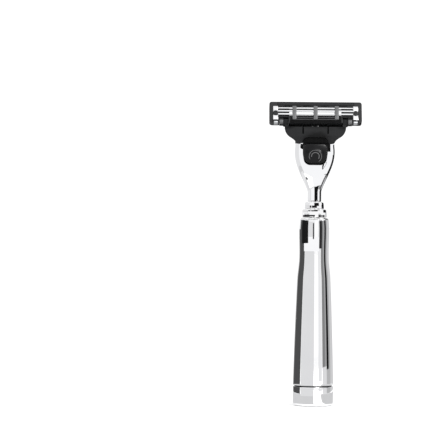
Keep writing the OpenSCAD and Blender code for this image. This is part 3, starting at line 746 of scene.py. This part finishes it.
# The apron's rubber is darker than the rest of the guard: painted shade.
cartridge_bar("guard_apron", 0, 11.6, apron, 0.2, "guard_rubber", APRON_PAINTED_SHADE)
web = rounded([(-1.25, 125.2), (-2.3, 125.2), (-2.3, 126.9), (-1.25, 126.9)], [0.2, 0.3, 0.3, 0.2],
              steps=4, closed=True)
for tag, x0, x1 in (("left", -13.1, -11.6), ("right", 11.6, 13.1)):
    piece("yoke_web_" + tag, *rounded_bar(x0, x1, web, 0.1), "connector_plastic", "connector")
bar = rounded([(-1.3, -0.25), (-2.1, -0.25), (-2.1, 6.45), (-1.3, 6.45), (-1.3, 6.05),
               (-1.66, 6.05), (-1.66, 1.9), (-1.3, 1.9)],
              [0, 0.3, 0.3, 0, 0.05, 0.15, 0.15, 0.05], steps=5, closed=True)
# The front bars are housing plastic painted lighter: painted light.
for tag, bar_x in (("left", -9.5), ("middle", 0.0), ("right", 9.5)):
    cartridge_bar("guard_bar_" + tag, bar_x, 0.88, bar, 0.1, "housing_plastic", BAR_PAINTED_LIGHT)


CLIP_X, CLIP_FRONT, CLIP_TOP, CLIP_BOTTOM, CLIP_MM = 18.0, -1.87, 6.4, -1.3, 0.28
STAKE_Z, STAKE_POINTS = 2.9, 40
# The clip's outer and inner faces, in Y and Z: from the back of the top, over the front and its
# dent, to the back below.
outer_face = [(2.3, CLIP_TOP), (CLIP_FRONT + 0.45, CLIP_TOP), (CLIP_FRONT + 0.12, CLIP_TOP - 0.12),
              (CLIP_FRONT, CLIP_TOP - 0.45), (CLIP_FRONT, 4.35), (CLIP_FRONT + 0.12, 4.0),
              (CLIP_FRONT + 0.3, 3.6), (CLIP_FRONT + 0.38, 2.95), (CLIP_FRONT + 0.3, 2.3),
              (CLIP_FRONT + 0.12, 1.9), (CLIP_FRONT, 1.55), (CLIP_FRONT, CLIP_BOTTOM + 0.45),
              (CLIP_FRONT + 0.12, CLIP_BOTTOM + 0.12), (CLIP_FRONT + 0.45, CLIP_BOTTOM),
              (1.9, CLIP_BOTTOM)]
inner_front = CLIP_FRONT + CLIP_MM
inner_face = [(2.3, CLIP_TOP - CLIP_MM), (CLIP_FRONT + 0.5, CLIP_TOP - CLIP_MM),
              (CLIP_FRONT + 0.36, CLIP_TOP - 0.34), (inner_front, CLIP_TOP - 0.5), (inner_front, 4.4),
              (CLIP_FRONT + 0.4, 4.05), (CLIP_FRONT + 0.56, 3.6), (CLIP_FRONT + 0.64, 2.95),
              (CLIP_FRONT + 0.56, 2.3), (CLIP_FRONT + 0.4, 1.85), (inner_front, 1.5),
              (inner_front, CLIP_BOTTOM + 0.5), (CLIP_FRONT + 0.36, CLIP_BOTTOM + 0.34),
              (CLIP_FRONT + 0.5, CLIP_BOTTOM + CLIP_MM), (1.9, CLIP_BOTTOM + CLIP_MM)]
stake = ((1.16, -1.5), (1.16, -1.94), (1.1, -2.0), (0.95, -2.04), (0.6, -2.07), (0.4, -2.08),
         (0.34, -2.02), (0.12, -2.0))    # radius and Y
bridge = rounded([(-1.5, -1.2), (-2.0, -1.2), (-2.0, -0.3), (-1.5, -0.3)],
                 [0, 0.2, 0.2, 0], steps=4, closed=True)
tail = rounded([(0.4, -1.7), (0.4, -1.95), (-1.87, -1.95), (-1.87, -1.15), (-1.62, -1.15),
                (-1.62, -1.7)], [0.05, 0.1, 0.42, 0.05, 0.05, 0.15], steps=5, closed=True)
tab = rounded([(0.1, -1.6), (0.1, -1.98), (-1.93, -1.98), (-1.93, -0.45), (-1.3, -0.3), (-1.3, -1.6)],
              [0.05, 0.1, 0.5, 0.2, 0, 0.1], steps=5, closed=True)
for tag, side in (("left", -1), ("right", 1)):
    clip_x = side * CLIP_X
    cartridge_bar("end_clip_formed_" + tag, clip_x, 1.05, outer_face + inner_face[::-1], 0.06,
                  "clip_aluminium", replaces=["end_clip_" + tag])
    angles = [2 * math.pi * i / STAKE_POINTS for i in range(STAKE_POINTS)]
    verts, faces = loft([[(clip_x + r * math.cos(a), y, STAKE_Z + r * math.sin(a)) for a in angles]
                         for r, y in stake])
    piece("clip_stake_" + tag, [on_cartridge(v) for v in verts], faces, "housing_plastic", "cartridge")
    cartridge_bar("clip_bridge_" + tag, clip_x, 1.4, bridge, 0.15, "housing_plastic")
    # The clip's tail under the cartridge is painted darker than the clip: painted shade.
    cartridge_bar("clip_tail_" + tag, side * 17.9, 0.85, tail, 0.04, "clip_aluminium", TAIL_PAINTED_SHADE)
    # The guard tabs carry the front bars' painted light.
    cartridge_bar("guard_tab_" + tag, side * 15.45, 0.8, tab, 0.04, "housing_plastic", BAR_PAINTED_LIGHT)


# ---------------------------------------------------------------- carried-over CAD nodes

CAD_WELD_MM = 0.001
for obj in NODES.values():
    if obj.hide_render:
        continue
    slot_name = obj.data.materials[0].name
    for material_slot in obj.material_slots:
        material_slot.material = FINISH[slot_name]
    weld = obj.modifiers.new("weld", "WELD")
    weld.merge_threshold = CAD_WELD_MM * MM


# ---------------------------------------------------------------- floor, cards, lights, camera

CARD_BLUE, PATCH_Y = 1.01, -0.02


def plain(name, colour=(0, 0, 0), emit=None):
    """A flat staging material: a dull colour, or for a card a plain glow."""
    material = bpy.data.materials.new(name)
    material.use_nodes = True
    bsdf = material.node_tree.nodes["Principled BSDF"]
    bsdf.inputs["Base Color"].default_value = (*colour, 1)
    bsdf.inputs["Roughness"].default_value = 0.8
    bsdf.inputs["Specular IOR Level"].default_value = 0.1
    if emit is not None:
        bsdf.inputs["Specular IOR Level"].default_value = 0
        bsdf.inputs["Emission Color"].default_value = (*emit, 1)
        bsdf.inputs["Emission Strength"].default_value = 1.0
    return material


def staged(name, verts, faces, material):
    """Something of the studio, in metres, that isn't part of the razor."""
    mesh = bpy.data.meshes.new(name)
    mesh.from_pydata(verts, [], faces)
    mesh.materials.append(material)
    obj = bpy.data.objects.new(name, mesh)
    scene.collection.objects.link(obj)
    return obj


FLOOR = 60.0
staged("floor", [(-FLOOR, -FLOOR, 0), (FLOOR, -FLOOR, 0), (FLOOR, FLOOR, 0), (-FLOOR, FLOOR, 0)],
       [(0, 1, 2, 3)], plain("floor_pale", (0.93,) * 3))


def reflected(name, verts, faces, grey, blue=CARD_BLUE):
    """A glowing card that shows only in glossy reflections."""
    obj = staged(name, verts, faces, plain(name, emit=(grey, grey, grey * blue)))
    obj.visible_camera = obj.visible_diffuse = obj.visible_shadow = False
    obj.visible_transmission = obj.visible_volume_scatter = False


def round_axis(distance, degrees, z):
    """A point at a distance from the razor's axis. Degrees go from the front, -Y, towards +X."""
    a = math.radians(degrees)
    return distance * math.sin(a), -distance * math.cos(a), z


def card(name, start, end, distance, z0, z1, grey):
    """A curved upright card round the razor."""
    steps = max(2, int(abs(end - start) / 4))
    turns = [start + (end - start) * i / steps for i in range(steps + 1)]
    verts = [round_axis(distance, turn, z) for turn in turns for z in (z0, z1)]
    faces = [(2 * i, 2 * i + 2, 2 * i + 3, 2 * i + 1) for i in range(steps)]
    reflected(name, verts, faces, grey)


def plate(name, start, end, near, far, height, grey):
    """A flat card at a height, part of a ring round the razor."""
    steps = max(3, int((end - start) / 6))
    turns = [start + (end - start) * i / steps for i in range(steps + 1)]
    verts = [round_axis(distance, turn, height) for turn in turns for distance in (near, far)]
    faces = [(2 * i, 2 * i + 1, 2 * i + 3, 2 * i + 2) for i in range(steps)]
    reflected(name, verts, faces, grey)


def patch(name, outline, grey=0.01):
    """A small flat card in front of the head, given by its outline in X and Z."""
    verts = [(x, PATCH_Y, z) for x, z in outline]
    reflected(name, verts, [tuple(range(len(verts)))], grey, blue=1)


# The camera doesn't see these cards. They put the stripes in the chrome, and those within 60 mm of
# the axis each shape one stripe or dash. Name, from, to, distance, bottom, top, grey.
for values in (
    ("card_left_edge", -180, -146, 0.09, 0.0005, 0.0845, 0.4),
    ("card_left_dark", -146, -79, 0.09, 0.0005, 0.1, 0.075),
    ("card_left_panel", -79, 1, 0.25, 0.0005, 0.25, 0.76),
    ("card_right_shade_1", 28, 50, 0.3, 0.0, 0.2, 0.84),
    ("card_right_grey", 51, 70, 0.1, 0.016, 0.11, 0.24),
    ("card_right_pale", 70, 80, 0.1, 0.016, 0.11, 0.38),
    ("card_right_low", 51, 80, 0.1, 0.0005, 0.016, 0.74),
    ("card_right_black", 80, 97, 0.1, 0.014, 0.11, 0.008),
    ("card_right_black_low", 80, 112, 0.1, 0.0005, 0.014, 0.48),
    ("card_right_edge_near", 97, 112, 0.1, 0.014, 0.11, 0.42),
    ("card_right_edge", 112, 180, 0.12, 0.0, 0.14, 0.62),
    ("near_panel_low", -73.5, 0.6, 0.06, 0.0004, 0.0159, 0.76),
    ("near_swell_left", -96, -42, 0.02, 0.0726, 0.0872, 0.012),
    ("near_swell_middle", -11, -3, 0.02, 0.0745, 0.0846, 0.06),
    ("near_swell_right", 31, 51, 0.02, 0.0706, 0.0872, 0.03),
    ("near_waist", -76, 31, 0.0205, 0.0696, 0.0757, 1.0),
    ("near_ring_dash", -42, 2, 0.012, 0.0851, 0.0861, 0.03),
    ("near_ring_lower", -150, 100, 0.02, 0.0861, 0.0884, 1.0),
    ("near_ring_dark_1", -49, -32, 0.012, 0.0893, 0.0911, 0.03),
    ("near_ring_dark_2", -27, 22, 0.012, 0.0893, 0.0911, 0.02),
    ("near_neck_dash", -65, -47, 0.012, 0.0967, 0.0985, 0.12),
    ("near_neck_stripe", -4, 44, 0.012, 0.0908, 0.0985, 0.008),
    ("near_neck_stop", -14, 62, 0.008, 0.0972, 0.103, 0.98),
    ("near_head_low_1", -180, -118, 0.02, 0.0795, 0.0985, 0.84),
    ("near_head_low_2", -118, -66, 0.02, 0.0925, 0.0985, 0.84),
    ("near_head_low_3", -118, -66, 0.0205, 0.0862, 0.0925, 0.76),
    ("near_neck_left", -170, -60, 0.035, 0.0885, 0.0985, 0.66),
    ("near_head_left", -170, -60, 0.035, 0.0985, 0.1245, 0.8),
    ("near_head_white", -60, 84, 0.035, 0.0885, 0.1245, 0.98),
    ("near_head_black", 92, 132, 0.035, 0.0885, 0.1205, 0.01),
    ("near_head_edge", 132, 180, 0.035, 0.0885, 0.1245, 0.8),
):
    card(*values)
# Each of these darkens one spot of the head, beside the button or in the notch.
patch("near_notch_right", [(0.0056, 0.1145), (0.0095, 0.1145), (0.0095, 0.119), (0.0056, 0.119)])
patch("near_notch_left", [(-0.0100, 0.1168), (-0.0050, 0.1162), (-0.0050, 0.1186), (-0.0090, 0.1190)])
patch("near_shield_left", [(0.0086, 0.1034), (0.0094, 0.1030), (0.0102, 0.1070), (0.0092, 0.1086),
                           (0.0072, 0.1070)])
patch("near_shield_right", [(0.0092, 0.1032), (0.0102, 0.1026), (0.0150, 0.1066), (0.0150, 0.1084),
                            (0.0138, 0.1084), (0.0138, 0.1066)], 0.05)
plate("plate_base_left", -180, 0, 0.0097, 0.088, 0.0004, 0.66)
plate("plate_base_right", 40, 180, 0.0097, 0.098, 0.0004, 0.63)

world = bpy.data.worlds.new("studio")
world.use_nodes = True
background = world.node_tree.nodes["Background"]
background.inputs["Color"].default_value = (1, 1, 1, 1)
background.inputs["Strength"].default_value = 1.12
scene.world = world


def area_light(name, place, aim, size, power):
    """A soft round light at a place, turned to a point."""
    data = bpy.data.lights.new(name, "AREA")
    data.shape, data.size, data.energy = "DISK", size, power
    obj = bpy.data.objects.new(name, data)
    obj.location = place
    obj.rotation_euler = (Vector(aim) - Vector(place)).to_track_quat("-Z", "Y").to_euler()
    scene.collection.objects.link(obj)


area_light("key_soft", (0.35, -0.7, 0.75), (0, 0, 0.09), 0.5, 3.0)
area_light("fill_soft", (-0.6, -0.4, 0.4), (0, 0, 0.09), 0.4, 1.0)
area_light("spark_right", (0.45, -0.65, 0.62), (0, 0, 0.11), 0.12, 2.4)
area_light("spark_left", (-0.5, -0.6, 0.5), (0, 0, 0.11), 0.1, 0.8)

SENSOR, VIEW_WIDTH = 36, 0.2025    # the view is this wide at one metre
camera_data = bpy.data.cameras.new("camera")
camera_data.sensor_width = SENSOR
camera_data.lens = SENSOR / VIEW_WIDTH
camera_data.clip_start, camera_data.clip_end = 0.05, 100
camera = bpy.data.objects.new("camera", camera_data)
camera.location = (-0.04081, -1.0, 0.08171)
camera.rotation_euler = (math.radians(90), math.radians(-0.45), 0)    # the razor leans a little
scene.collection.objects.link(camera)
scene.camera = camera
scene.view_settings.view_transform = "Standard"

bpy.context.view_layer.update()
